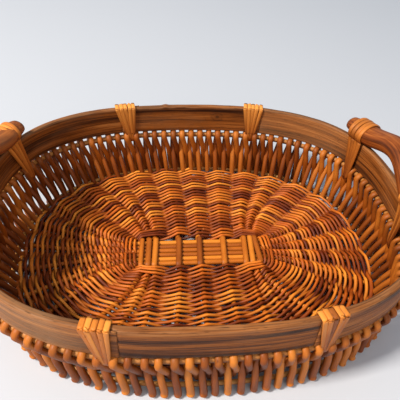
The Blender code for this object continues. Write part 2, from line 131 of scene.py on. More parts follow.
# The weaving --------------------------------------------------------------------------
STRAND_RADIUS = 0.0023
GROUPED_ROUNDS = 3                # rounds that take the corner sticks three at a time
ROUNDS = 24
ROUND_SAMPLES = 330
FIRST_LEVEL = -0.012              # share of the way from the window to the base's edge
LAST_LEVEL = 1.020
KINK = 0.94                       # how sharply a strand bends over a stick
LIFT = 0.0062                     # strand's height over a stick's middle
TWIST = 0.0022                    # the two strands part this far between sticks
END_SPREAD = 0.16                 # rounds lie wider apart towards the two ends

CAMERA_PLACE = Vector((-0.0539, -0.4760, 0.5300))
CAMERA_AIM = Vector((0.0917, 0.7491, -0.6561))
CAMERA_ROLL = 0.0612
CAMERA_LENS = 42.9

RNG = np.random.default_rng(41)


# Outlines in plan ---------------------------------------------------------------------
class Outline:
    """A closed superellipse, read by share of its length from +Y, clockwise."""

    def __init__(self, half_length, half_width, power, shift=0.0):
        angle = math.pi / 2 - np.linspace(0.0, 2 * math.pi, 1441)
        c = np.cos(angle)
        s = np.sin(angle)
        self.x = half_length * np.sign(c) * np.abs(c) ** (2 / power) + shift
        self.y = half_width * np.sign(s) * np.abs(s) ** (2 / power)
        steps = np.hypot(np.diff(self.x), np.diff(self.y))
        lengths = np.concatenate(([0.0], np.cumsum(steps)))
        self.total = lengths[-1]
        self.shares = lengths / self.total

    def at(self, share):
        share = np.atleast_1d(np.asarray(share, float)) % 1.0
        x = np.interp(share, self.shares, self.x)
        y = np.interp(share, self.shares, self.y)
        return np.stack((x, y, np.zeros_like(x)), 1)

    def normal(self, share):
        share = np.atleast_1d(np.asarray(share, float))
        along = self.at(share + 0.002) - self.at(share - 0.002)
        along /= np.linalg.norm(along, axis=1)[:, None]
        return np.stack((-along[:, 1], along[:, 0], np.zeros(len(share))), 1)

    def share_near(self, x, y):
        return self.shares[np.argmin(np.hypot(self.x - x, self.y - y))]


RIM = Outline(
    RIM_HALF_LENGTH - BOARD_THICKNESS / 2,
    RIM_HALF_WIDTH - BOARD_THICKNESS / 2,
    RIM_POWER,
)
FOOT = Outline(FOOT_HALF_LENGTH, FOOT_HALF_WIDTH, BASE_POWER, BASE_SHIFT)
BASE = Outline(BASE_HALF_LENGTH, BASE_HALF_WIDTH, BASE_POWER, BASE_SHIFT)
BASE_EDGE = Outline(
    BASE_HALF_LENGTH - BASE_EDGE_INSET,
    BASE_HALF_WIDTH - BASE_EDGE_INSET,
    BASE_POWER,
    BASE_SHIFT,
)
WINDOW = Outline(WINDOW_HALF_LENGTH, WINDOW_HALF_WIDTH, WINDOW_POWER, BASE_SHIFT + WINDOW_SHIFT)


def wander(count, reach, size):
    """A smooth random line: count samples, changing every reach samples."""
    knots = RNG.normal(0.0, size, max(4, int(count / reach) + 4))
    place = np.linspace(0.0, len(knots) - 1.001, count)
    low = place.astype(int)
    part = place - low
    part = part * part * (3 - 2 * part)
    return knots[low] * (1 - part) + knots[low + 1] * part


def smooth_line(points, count, closed=False):
    """A Catmull-Rom line through the points, with evenly spaced samples."""
    points = np.asarray(points, float)
    if closed:
        padded = np.vstack((points[-1], points, points[0], points[1]))
    else:
        padded = np.vstack((2 * points[0] - points[1], points, 2 * points[-1] - points[-2]))
    t = np.linspace(0.0, 1.0, 12, endpoint=False)[:, None]
    pieces = []
    for a, b, c, d in zip(padded, padded[1:], padded[2:], padded[3:]):
        cubic = (-a + 3 * b - 3 * c + d) * t ** 3 + (2 * a - 5 * b + 4 * c - d) * t ** 2
        pieces.append(0.5 * (2 * b + (c - a) * t + cubic))
    line = np.vstack(pieces + [padded[-2][None]])
    lengths = np.concatenate(([0.0], np.cumsum(np.linalg.norm(np.diff(line, axis=0), axis=1))))
    wanted = np.linspace(0.0, lengths[-1], count, endpoint=not closed)
    return np.stack([np.interp(wanted, lengths, line[:, k]) for k in range(3)], 1)


# Meshes of rods and strands -----------------------------------------------------------
class Skein:
    """Tubes gathered into one mesh.

    Each point keeps `grain`, its place in its own rod (along, then across), and `tint`:
    the rod's random tone, how pale it is there, how far it is end grain, and how far it
    is spared painted shade, which darkens its hollows, its sides and its underside.
    """

    def __init__(self):
        self.verts = []
        self.faces = []
        self.grain = []
        self.tint = []
        self.count = 0

    def add(self, verts, faces, grain, tint):
        self.verts.append(verts)
        self.grain.append(grain)
        self.tint.append(tint)
        self.faces += [tuple(i + self.count for i in face) for face in faces]
        self.count += len(verts)

    def tube(
        self, path, radius, face=None, flat=1.0, sides=10, pale=0.0, unshaded=1.0,
        closed=False, power=2.0, middle=None, shade=0.34,
    ):
        """A rod along a path; `face` is the direction in which a flat strand is thin.

        With `middle`, the strand is thin along Z at that point, and from there it is carried.
        `shade` is how far painted shade spares a side that faces neither up nor down;
        upward faces are spared it and undersides get the most.
        """
        path = np.asarray(path, float)
        count = len(path)
        flat = np.broadcast_to(np.asarray(flat, float), count)
        radius = np.broadcast_to(np.asarray(radius, float), count).copy()
        pale = np.broadcast_to(np.asarray(pale, float), count).copy()
        unshaded = np.broadcast_to(np.asarray(unshaded, float), count).copy()
        if closed:
            ahead = np.roll(path, -1, 0) - np.roll(path, 1, 0)
        else:
            ahead = np.gradient(path, axis=0)
        ahead /= np.linalg.norm(ahead, axis=1)[:, None]
        if face is None:
            face = self.carried(ahead, middle)
        face = np.broadcast_to(face, path.shape)
        face = face - ahead * np.sum(face * ahead, 1)[:, None]
        face = face / np.linalg.norm(face, axis=1)[:, None]
        side = np.cross(face, ahead)
        end = np.zeros(count)
        if not closed:
            rings = (path, radius, pale, unshaded, end, ahead, face, side, flat)
            path, radius, pale, unshaded, end, ahead, face, side, flat = self.rounded_ends(*rings)
            count = len(path)
        angle = np.linspace(0.0, 2 * math.pi, sides, endpoint=False)
        c = np.sign(np.cos(angle)) * np.abs(np.cos(angle)) ** (2 / power)
        s = np.sign(np.sin(angle)) * np.abs(np.sin(angle)) ** (2 / power)
        across = side[:, None] * c[None, :, None] + face[:, None] * (flat[:, None] * s)[:, :, None]
        verts = (path[:, None] + across * radius[:, None, None]).reshape(-1, 3)
        lengths = np.concatenate(([0.0], np.cumsum(np.linalg.norm(np.diff(path, axis=0), axis=1))))
        start = RNG.uniform(0.0, 9.0, 3)
        grain = np.empty((count, sides, 3))
        grain[..., 0] = start[0] + lengths[:, None]
        grain[..., 1] = start[1] + radius[:, None] * c
        grain[..., 2] = start[2] + radius[:, None] * s
        tint = np.ones((count, sides, 4))
        tint[..., 0] = RNG.uniform()
        tint[..., 1] = pale[:, None]
        tint[..., 2] = end[:, None]
        upward = across[..., 2] / np.linalg.norm(across, axis=2)
        # Painted shade: darker on the sides and darkest underneath, by the way each face points.
        tint[..., 3] = unshaded[:, None] * np.clip(shade + 0.80 * upward, 0.05, 1.0)
        faces = []
        for i in range(count if closed else count - 1):
            a = i * sides
            b = (i + 1) % count * sides
            for k in range(sides):
                n = (k + 1) % sides
                faces.append((a + k, a + n, b + n, b + k))
        if not closed:
            faces.append(tuple(reversed(range(sides))))
            faces.append(tuple(range((count - 1) * sides, count * sides)))
        self.add(verts, faces, grain.reshape(-1, 3), tint.reshape(-1, 4))

    @staticmethod
    def carried(ahead, middle=None):
        """A direction across the path, carried along it without twisting."""
        start = middle or 0
        first = np.array((0.0, 0.0, 1.0)) if middle else np.cross(ahead[0], (0.31, 0.17, 0.93))
        face = np.empty_like(ahead)
        face[start] = first / np.linalg.norm(first)
        steps = [(i, i - 1) for i in range(start + 1, len(ahead))]
        steps += [(i, i + 1) for i in range(start - 1, -1, -1)]
        for here, before in steps:
            moved = face[before] - ahead[here] * face[before].dot(ahead[here])
            face[here] = moved / np.linalg.norm(moved)
        return face

    @staticmethod
    def rounded_ends(path, radius, pale, unshaded, end, ahead, face, side, flat):
        """Adds the short domed rings of a cut end at both ends."""
        for last in (False, True):
            pick = -1 if last else 0
            sign = 1.0 if last else -1.0
            rings = ((0.16, 0.93), (0.27, 0.76), (0.33, 0.42))
            if not last:
                rings = rings[::-1]
            places = [path[pick] + ahead[pick] * radius[pick] * out * sign for out, _ in rings]
            sizes = [radius[pick] * size for _, size in rings]
            caps = [places, sizes, [pale[pick]] * 3, [unshaded[pick]] * 3, [1.0] * 3]
            caps += [[v[pick]] * 3 for v in (ahead, face, side, flat)]
            parts = []
            for old, new in zip((path, radius, pale, unshaded, end, ahead, face, side, flat), caps):
                parts.append(np.concatenate((old, new) if last else (new, old)))
            path, radius, pale, unshaded, end, ahead, face, side, flat = parts
        return path, radius, pale, unshaded, end, ahead, face, side, flat

    def build(self, name, material, slot, *nodes):
        mesh = bpy.data.meshes.new(name)
        mesh.from_pydata(np.concatenate(self.verts).tolist(), [], self.faces)
        grain = mesh.attributes.new("grain", "FLOAT_VECTOR", "POINT")
        grain.data.foreach_set("vector", np.concatenate(self.grain).astype(np.float32).ravel())
        tint = mesh.attributes.new("tint", "FLOAT_COLOR", "POINT")
        tint.data.foreach_set("color", np.concatenate(self.tint).astype(np.float32).ravel())
        mesh.polygons.foreach_set("use_smooth", np.ones(len(mesh.polygons), bool))
        mesh.materials.append(material)
        mesh.update()
        piece = bpy.data.objects.new(name, mesh)
        bpy.context.scene.collection.objects.link(piece)
        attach(piece, "root")
        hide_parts(*nodes)


# Materials ----------------------------------------------------------------------------
class Shader:
    """A material's node tree, with one short call for each kind of node."""

    def __init__(self, name):
        self.material = bpy.data.materials.new(name)
        self.material.use_nodes = True
        self.tree = self.material.node_tree
        self.out = self.tree.nodes["Principled BSDF"]
        self.grain = self.attribute("grain").outputs["Vector"]
        parts = self.node("ShaderNodeSeparateColor")
        tint = self.attribute("tint")
        self.tree.links.new(tint.outputs["Color"], parts.inputs["Color"])
        self.tone, self.pale, self.end = parts.outputs
        # The tint's alpha: how far painted shade spares the surface.
        self.unshaded = tint.outputs["Alpha"]

    def node(self, kind, **settings):
        made = self.tree.nodes.new(kind)
        for key, value in settings.items():
            setattr(made, key, value)
        return made

    def plug(self, socket, value):
        if isinstance(value, bpy.types.NodeSocket):
            self.tree.links.new(value, socket)
        else:
            socket.default_value = value

    def attribute(self, name):
        return self.node("ShaderNodeAttribute", attribute_name=name)

    def stretched(self, scale):
        made = self.node("ShaderNodeVectorMath", operation="MULTIPLY")
        self.plug(made.inputs[0], self.grain)
        made.inputs[1].default_value = scale
        return made.outputs["Vector"]

    def noise(self, scale, detail, roughness, distortion=0.0):
        made = self.node("ShaderNodeTexNoise")
        self.plug(made.inputs["Vector"], self.stretched(scale))
        made.inputs["Scale"].default_value = 1.0
        made.inputs["Detail"].default_value = detail
        made.inputs["Roughness"].default_value = roughness
        made.inputs["Distortion"].default_value = distortion
        return made.outputs["Fac"]

    def sum(self, operation, a, b):
        made = self.node("ShaderNodeMath", operation=operation)
        self.plug(made.inputs[0], a)
        self.plug(made.inputs[1], b)
        return made.outputs[0]

    def ramp(self, factor, *stops):
        made = self.node("ShaderNodeValToRGB")
        self.plug(made.inputs["Fac"], factor)
        elements = made.color_ramp.elements
        while len(elements) < len(stops):
            elements.new(0.5)
        for element, (position, colour) in zip(elements, stops):
            element.position = position
            rgb = colour if isinstance(colour, tuple) else (colour,) * 3
            element.color = (*rgb, 1.0)
        return made.outputs["Color"]

    def mix(self, factor, a, b, blend="MIX"):
        made = self.node("ShaderNodeMix", data_type="RGBA", blend_type=blend)
        self.plug(made.inputs[0], factor)
        for socket, value in ((made.inputs[6], a), (made.inputs[7], b)):
            self.plug(socket, (*value, 1.0) if isinstance(value, tuple) else value)
        return made.outputs[2]

    def finish(self, colour, roughness, height, strength, distance, shade_tint, specular=0.3):
        # Painted shade: where the alpha is under one, the colour is darkened by the shade tint.
        colour = self.mix(self.unshaded, self.mix(1.0, colour, shade_tint, "MULTIPLY"), colour)
        self.out.inputs["Specular IOR Level"].default_value = specular
        self.plug(self.out.inputs["Base Color"], colour)
        self.plug(self.out.inputs["Roughness"], roughness)
        bump = self.node("ShaderNodeBump")
        bump.inputs["Strength"].default_value = strength
        bump.inputs["Distance"].default_value = distance
        self.plug(bump.inputs["Height"], height)
        self.plug(self.out.inputs["Normal"], bump.outputs["Normal"])
        return self.material


def willow(name, dark, middle, light, pale, shine=0.46):
    """Peeled or boiled willow: a tone of its own per rod, streaks, blotches and knots."""
    s = Shader(name)
    streaks = s.noise((38.0, 1500.0, 1500.0), 4.0, 0.6)
    blotches = s.noise((26.0, 90.0, 90.0), 3.0, 0.6, 0.4)
    marks = s.noise((120.0, 210.0, 210.0), 2.0, 0.5)
    tone = s.sum("MULTIPLY", s.tone, 0.78)
    tone = s.sum("ADD", tone, s.sum("MULTIPLY", blotches, 0.62))
    tone = s.sum("ADD", tone, s.sum("MULTIPLY", streaks, 0.34))
    tone = s.sum("SUBTRACT", tone, 0.36)
    colour = s.ramp(tone, (0.12, dark), (0.48, middle), (0.88, light))
    # Pale share: the crowns of some stakes, and painted light on the tops of the lashings.
    colour = s.mix(s.pale, colour, s.mix(streaks, pale, light))
    spots = s.ramp(marks, (0.66, 0.0), (0.76, 1.0))
    colour = s.mix(s.sum("MULTIPLY", spots, 0.55), colour, tuple(c * 0.42 for c in dark))
    colour = s.mix(s.sum("MULTIPLY", s.end, 0.7), colour, s.mix(streaks, middle, pale))
    rough = s.sum("ADD", s.sum("MULTIPLY", streaks, 0.26), shine - 0.10)
    height = s.sum("ADD", streaks, s.sum("MULTIPLY", blotches, 1.4))
    # The (0.17, 0.058, 0.014) is the tint of the painted shade in hollows, on sides and underneath.
    return s.finish(colour, rough, height, 0.5, 0.0005, (0.17, 0.058, 0.014))


def weathered_board():
    """Old bent board: long dark grain, grey bloom, a knot and fine cracks."""
    s = Shader("weathered_board")
    fibres = s.noise((9.0, 520.0, 520.0), 5.0, 0.62, 0.25)
    bands = s.noise((3.2, 75.0, 75.0), 3.0, 0.5, 0.6)
    bloom_and_painted_light = s.noise((11.0, 34.0, 34.0), 3.0, 0.6)
    pores = s.noise((60.0, 1500.0, 1500.0), 2.0, 0.5)
    tone = s.sum("ADD", s.sum("MULTIPLY", fibres, 0.58), s.sum("MULTIPLY", bands, 0.62))
    colour = s.ramp(
        s.sum("SUBTRACT", tone, 0.10),
        (0.36, (0.026, 0.007, 0.002)),
        (0.46, (0.120, 0.034, 0.006)),
        (0.56, (0.270, 0.082, 0.013)),
        (0.70, (0.460, 0.180, 0.045)),
    )
    grey = s.sum("MULTIPLY", s.ramp(bloom_and_painted_light, (0.50, 0.0), (0.74, 1.0)), 0.22)
    colour = s.mix(grey, colour, (0.285, 0.170, 0.095))
    # Pale share: worn edges, painted light on the back-right corner, and painted light on the front of the
    # left end board.
    colour = s.mix(s.sum("MULTIPLY", s.pale, 0.6), colour, (0.46, 0.240, 0.110))
    cracks = s.ramp(pores, (0.30, 1.0), (0.36, 0.0))
    colour = s.mix(s.sum("MULTIPLY", cracks, 0.75), colour, (0.012, 0.006, 0.004))
    colour = s.mix(s.sum("MULTIPLY", s.end, 0.85), colour, (0.018, 0.008, 0.005))
    rough = s.sum("ADD", s.sum("MULTIPLY", fibres, 0.30), 0.40)
    height = s.sum("SUBTRACT", fibres, s.sum("MULTIPLY", cracks, 0.8))
    return s.finish(colour, rough, height, 0.6, 0.0009, (0.4, 0.3, 0.25), 0.2)


def handle_wood():
    """Smooth stained stick: reddish brown, with long soft grain and a paler middle that is painted light.
    """
    s = Shader("stained_handle")
    fibres = s.noise((12.0, 420.0, 420.0), 4.0, 0.6, 0.3)
    bands = s.noise((6.0, 70.0, 70.0), 3.0, 0.55, 0.8)
    tone = s.sum("ADD", s.sum("MULTIPLY", fibres, 0.45), s.sum("MULTIPLY", bands, 0.65))
    colour = s.ramp(
        s.sum("SUBTRACT", tone, 0.06),
        (0.36, (0.070, 0.015, 0.003)),
        (0.49, (0.250, 0.060, 0.009)),
        (0.66, (0.500, 0.155, 0.030)),
    )
    # Pale share: painted light along the middle of the left handle.
    colour = s.mix(s.sum("MULTIPLY", s.pale, 0.45), colour, (0.42, 0.170, 0.060))
    end_share = s.sum("MULTIPLY", s.end, 0.7)
    cut = s.mix(fibres, (0.05, 0.02, 0.01), (0.26, 0.12, 0.05))
    colour = s.mix(end_share, colour, cut)
    rough = s.sum("ADD", s.sum("MULTIPLY", fibres, 0.22), 0.40)
    # The (0.5, 0.34, 0.24) is the tint of the painted shade on the handles' sides and undersides.
    return s.finish(colour, rough, fibres, 0.35, 0.0006, (0.5, 0.34, 0.24), 0.25)


STAKE = willow(
    "stake_willow", (0.240, 0.055, 0.005), (0.480, 0.125, 0.010), (0.74, 0.245, 0.028), (0.76, 0.31, 0.060)
)
WEAVE = willow(
    "weave_willow", (0.165, 0.024, 0.002), (0.660, 0.145, 0.010), (1.0, 0.355, 0.038), (0.95, 0.38, 0.07)
)
STICK = willow(
    "stick_willow", (0.300, 0.070, 0.005), (0.560, 0.150, 0.010), (0.78, 0.26, 0.024), (0.84, 0.36, 0.06)
)
BINDING = willow(
    "binding_willow", (0.270, 0.062, 0.006), (0.620, 0.185, 0.022), (0.90, 0.34, 0.055), (0.88, 0.40, 0.09)
)
HOOP = willow(
    "hoop_willow", (0.300, 0.105, 0.022), (0.540, 0.225, 0.055), (0.72, 0.36, 0.10), (0.78, 0.44, 0.15)
)
BOARD = weathered_board()
HANDLE = handle_wood()


# Base ---------------------------------------------------------------------------------
def arm_line(corner, along, tip):
    """A stick's arm in plan, from the window to its tip, bending once."""
    reach = np.linalg.norm(tip - corner)
    bend = corner + along * reach * 0.30
    t = np.linspace(0.0, 1.0, ARM_SAMPLES)[:, None]
    return corner * (1 - t) ** 2 + bend * 2 * t * (1 - t) + tip * t ** 2


def base_arms():
    """The thirty arms of the base sticks, by their place round the edge."""
    arms = {}
    up = np.array((0.0, 1.0, 0.0))
    out = np.array((1.0, 0.0, 0.0))
    for i, x in enumerate(CROSS_STICK_X):
        turn = i - MIDDLE_CROSS_STICK
        start = np.array((BASE_SHIFT + x, CROSS_ARM_START, 0.0))
        arms[turn] = arm_line(start, up, BASE_EDGE.at(turn / SPOKE_COUNT)[0])
        start = np.array((BASE_SHIFT + x, -CROSS_ARM_START, 0.0))
        arms[HALF_TURN - turn] = arm_line(start, -up, BASE_EDGE.at(0.5 - turn / SPOKE_COUNT)[0])
    inside = WINDOW_HALF_LENGTH - LONG_ARM_OVERLAP
    for i in range(LONG_STICK_COUNT):
        turn = i - MIDDLE_LONG_STICK
        y = -turn * LONG_STICK_PITCH
        start = np.array((BASE_SHIFT + inside, y, 0.0))
        tip = BASE_EDGE.at(0.25 + turn / SPOKE_COUNT)[0]
        arms[int(QUARTER_TURN + turn)] = arm_line(start, out, tip)
        start = np.array((BASE_SHIFT - inside, y, 0.0))
        tip = BASE_EDGE.at(0.75 - turn / SPOKE_COUNT)[0]
        arms[int(3 * QUARTER_TURN - turn)] = arm_line(start, -out, tip)
    return arms


def ring_at(share, level):
    level = np.asarray(level)[:, None]
    return WINDOW.at(share) * (1 - level) + BASE.at(share) * level


def crossing_table(arms, levels):
    """Where each arm crosses the ring at each level, as a share of the ring."""
    shares = np.linspace(0.0, 1.0, 1440, endpoint=False)
    between = np.linspace(0, ARM_SAMPLES - 1, 4 * ARM_SAMPLES)
    table = np.empty((len(levels), SPOKE_COUNT))
    for row, level in enumerate(levels):
        ring = ring_at(shares, np.full(len(shares), level))
        for spoke in range(SPOKE_COUNT):
            key = spoke - MIDDLE_CROSS_STICK
            arm = arms[key]
            fine = np.stack([np.interp(between, range(ARM_SAMPLES), arm[:, k]) for k in (0, 1)], 1)
            away = ring[:, None, :2] - fine[None]
            gaps = np.hypot(away[..., 0], away[..., 1])
            share = shares[np.unravel_index(np.argmin(gaps), gaps.shape)[0]]
            nominal = key / SPOKE_COUNT
            table[row, spoke] = (share - nominal + 0.5) % 1.0 - 0.5 + nominal
    return table


def weave_base():
    """Two strands twisted round the sticks, round after round, in two pieces."""
    levels = np.linspace(FIRST_LEVEL, LAST_LEVEL, 14)
    table = crossing_table(base_arms(), levels)
    corner_groups = [(0, 2), (3, 3), (4, 4), (5, 5), (6, 8), (9, 11), (12, 14)]
    corner_groups += [(a + HALF_TURN, b + HALF_TURN) for a, b in corner_groups]
    single_groups = [(k, k) for k in range(SPOKE_COUNT)]
    inner = Skein()
    outer = Skein()
    spans = ((0.0, GROUPED_ROUNDS, corner_groups), (GROUPED_ROUNDS, ROUNDS, single_groups))
    for first, last, groups in spans:
        for phase in (0.0, math.pi):
            path, turns, unshaded = strand_path(first, last, groups, phase, levels, table)
            lay_rods(path, turns, unshaded, inner, outer)
    inner.build("weaving_inner", WEAVE, "willow_weave", "base_weave_inner")
    outer.build("weaving_outer", WEAVE, "willow_weave", "base_weave_outer")


def strand_path(first, last, groups, phase, levels, table):
    count = int((last - first) * ROUND_SAMPLES)
    turns = np.linspace(first, last, count)
    share = turns % 1.0
    level = FIRST_LEVEL + (LAST_LEVEL - FIRST_LEVEL) * turns / ROUNDS
    ends = np.sin(2 * math.pi * share) ** 2
    level = level + END_SPREAD * ends * (level * level - level)
    angle = np.empty(count)
    for i in range(count):
        at = [np.interp(level[i], levels, table[:, k]) for k in range(SPOKE_COUNT)]
        places = []
        steps = []
        for number, (a, b) in enumerate(groups):
            places += [at[a], at[b] + 1e-6]
            steps += [number, number]
        places += [places[0] + 1.0, places[1] + 1.0]
        steps += [len(groups), len(groups)]
        here = share[i] - 1.0 if share[i] > places[-2] else share[i]
        angle[i] = math.pi * np.interp(here, places, steps)
    ring = ring_at(share, level)
    nearby = ring_at(share + 0.002, level) - ring_at(share - 0.002, level)
    nearby /= np.linalg.norm(nearby, axis=1)[:, None]
    out = np.stack((-nearby[:, 1], nearby[:, 0], np.zeros(count)), 1)
    swing = TWIST * np.sin(angle + phase) + wander(count, 14, 0.00042)
    path = ring + out * swing[:, None]
    wave = np.cos(angle + phase)
    wave = (1 - KINK) * wave + KINK * np.arcsin(np.clip(wave, -1, 1)) * 2 / math.pi
    path[:, 2] = BASE_Z + (LIFT + wander(count, 16, 0.0003)) * wave
    path[:, 2] += 0.0013 * np.sin(angle + phase)
    # Painted shade: the strand is darker where it dips under a stick.
    return path, turns, 0.5 + 0.5 * wave


def lay_rods(path, turns, unshaded, inner, outer):
    """Cuts a strand into rods of their own length, thickness and tone."""
    lengths = np.concatenate(([0.0], np.cumsum(np.linalg.norm(np.diff(path, axis=0), axis=1))))
    start = 0
    while start < len(path) - 8:
        reach = lengths[start] + RNG.uniform(0.55, 1.25)
        stop = min(int(np.searchsorted(lengths, reach)), len(path) - 1)
        if len(path) - stop < 40:
            stop = len(path) - 1
        rod = path[start:stop + 1]
        thick = STRAND_RADIUS * RNG.uniform(0.88, 1.10)
        radius = thick * np.linspace(1.08, 0.86, len(rod)) + wander(len(rod), 22, 0.00007)
        middle = turns[(start + stop) // 2] / ROUNDS
        into = inner if middle < 0.5 else outer
        ends = np.sin(2 * math.pi * turns[start:stop + 1]) ** 2
        radius = radius * (0.94 + 0.20 * ends * turns[start:stop + 1] / ROUNDS)
        into.tube(rod, radius, sides=8, unshaded=unshaded[start:stop + 1])
        start = stop


def lay_base_sticks():
    """Nine split cross sticks with six long sticks threaded through them."""
    arms = base_arms()
    for i, x in enumerate(CROSS_STICK_X):
        skein = Skein()
        turn = i - MIDDLE_CROSS_STICK
        back = arms[turn]
        front = arms[HALF_TURN - turn]
        lean = -0.0016 + (0.0028 if i == len(CROSS_STICK_X) - 1 else RNG.normal(0.0, 0.0003))
        thick = 0.0035 if i == 0 else 0.0042
        for side in (1.0, -1.0):
            across = np.linspace(-SPLIT_HALF_LENGTH, SPLIT_HALF_LENGTH, 30)
            rise = np.clip((SPLIT_HALF_LENGTH - np.abs(across)) / 0.0042, 0.0, 1.0)
            rise = rise * rise * (3 - 2 * rise)
            half = np.stack((
                BASE_SHIFT + x - lean * across / SPLIT_HALF_LENGTH,
                across,
                BASE_Z + side * (0.0006 + 0.0052 * rise),
            ), 1)
            skein.tube(half, thick, face=np.array((0.0, 0.0, side)), flat=0.46, sides=12, power=2.3)
        for arm in (back, front):
            line = arm + np.array((0.0, 0.0, BASE_Z))
            radius = CROSS_STICK_RADIUS * np.linspace(1.0, 0.75, len(line))
            skein.tube(line, radius, sides=10)
        skein.build(f"cross_stick_{i + 1}", STICK, "willow_stick", f"base_cross_stick_{i + 1}")
    for i in range(LONG_STICK_COUNT):
        skein = Skein()
        turn = i - MIDDLE_LONG_STICK
        left = arms[int(3 * QUARTER_TURN - turn)][::-1]
        right = arms[int(QUARTER_TURN + turn)]
        line = np.vstack((left, right)) + np.array((0.0, 0.0, BASE_Z))
        line = smooth_line(line[::3], 150)
        near = np.clip((0.27 - np.abs(line[:, 0] - BASE_SHIFT)) / 0.17, 0.0, 1.0)
        line[:, 1] += wander(len(line), 30, 0.00025)
        radius = LONG_STICK_RADIUS * (0.75 + 0.25 * near) + wander(len(line), 16, 0.00006)
        skein.tube(line, radius, sides=12)
        skein.build(f"long_stick_{i + 1}", STICK, "willow_stick", f"base_long_stick_{i + 1}")


# Wall ---------------------------------------------------------------------------------
def wall_point(share, drop, offset):
    """A point a share of the way down the wall and off its middle."""
    point = RIM.at(share)[0] * (1 - drop) + FOOT.at(share)[0] * drop + RIM.normal(share)[0] * offset
    point[2] = TOP_HOOP_Z + (FOOT_HOOP_Z - TOP_HOOP_Z) * drop
    return point


def stake(skein, place):
    """One hairpin rod: inner leg, loop over the top hoop, and outer leg to the ground."""
    share = (place + RNG.normal(0.0, 0.045)) / STAKE_COUNT
    side = LEG_SPREAD / 2 / STAKE_COUNT * RNG.uniform(0.90, 1.08)
    slant = STRADDLE - (FOOT_STRADDLE + STRADDLE) * 0.36
    inner_drop = RNG.uniform(0.955, 0.995)
    inner_foot = -FOOT_STRADDLE - RNG.uniform(0.0004, 0.0018)
    points = [
        wall_point(share - side, inner_drop, inner_foot),
        wall_point(share - side, 0.66, -FOOT_STRADDLE * 0.66 + slant * 0.2),
        wall_point(share - side, 0.36, slant),
        wall_point(share - side * 0.45, 0.15, STRADDLE * 0.72),
    ]
    for step in range(7):
        turn = math.pi * step / 6
        point = wall_point(share, 0.0, STRADDLE * math.cos(turn))
        point[2] += STRADDLE * CROWN_HEIGHT * math.sin(turn)
        points.append(point)
    points += [
        wall_point(share + side * 0.45, 0.15, -STRADDLE * 0.72),
        wall_point(share + side, 0.36, -slant),
        wall_point(share + side, 0.66, FOOT_STRADDLE * 0.66 - slant * 0.2),
        wall_point(share + side, 1.0, FOOT_STRADDLE + 0.0006),
    ]
    foot = wall_point(share + side, 1.0, FOOT_STRADDLE + RNG.uniform(0.0012, 0.0034))
    foot[2] = RNG.choice((FOOT_LOWEST, RNG.uniform(FOOT_LOWEST, 0.0058)))
    points.append(foot)
    line = smooth_line(points, 64)
    high = np.clip((line[:, 2] - TOP_HOOP_Z + 0.012) / 0.014, 0.0, 1.0)
    thick = STAKE_RADIUS * RNG.uniform(0.94, 1.08)
    crown = int(np.argmax(line[:, 2]))
    outer = np.arange(len(line)) > crown
    outer_foot = np.where(outer, np.clip(1.0 - line[:, 2] / FOOT_SWELL_TOP, 0.0, 1.0), 0.0)
    swell = 1.0 + CROWN_SWELL * high + FOOT_SWELL * outer_foot
    radius = thick * swell + wander(len(line), 10, 0.00009)
    # Painted shade: darker towards the foot, the inner legs most, and darker round the hoop under the
    # board.
    foot_unshaded = np.where(outer, 0.86, 0.50)
    rise = np.clip(line[:, 2] / TOP_HOOP_Z, 0.0, 1.0) ** 2
    unshaded = (foot_unshaded + (1.0 - foot_unshaded) * rise) * (1.0 - 0.30 * high)
    pale = high * RNG.uniform(0.0, 0.22)
    flat = 1.0 - CROWN_FLAT * high
    skein.tube(line, radius, flat=flat, sides=10, pale=pale, unshaded=unshaded, middle=crown, shade=0.66)


def build_wall():
    for panel in range(STAKE_COUNT // STAKES_PER_PANEL):
        skein = Skein()
        for i in range(STAKES_PER_PANEL):
            stake(skein, panel * STAKES_PER_PANEL + i + 0.5)
        number = f"{panel + 1:02d}"
        skein.build(f"stakes_{number}", STAKE, "willow_stake", f"wall_stakes_{number}")
    for name, outline, height, radius in (
        ("top_hoop", RIM, TOP_HOOP_Z, TOP_HOOP_RADIUS),
        ("foot_hoop", FOOT, FOOT_HOOP_Z, FOOT_HOOP_RADIUS),
    ):
        shares = np.linspace(0.0, 1.0, 360, endpoint=False)
        line = outline.at(shares)
        line[:, 2] = height
        skein = Skein()
        skein.tube(line, radius, face=np.array((0.0, 0.0, 1.0)), sides=12, closed=True)
        skein.build(f"{name}_rod", HOOP, "hoop_rod", name)


# Rim boards ---------------------------------------------------------------------------
def snap_share(x, y):
    return round(RIM.share_near(x, y) * STAKE_COUNT) / STAKE_COUNT


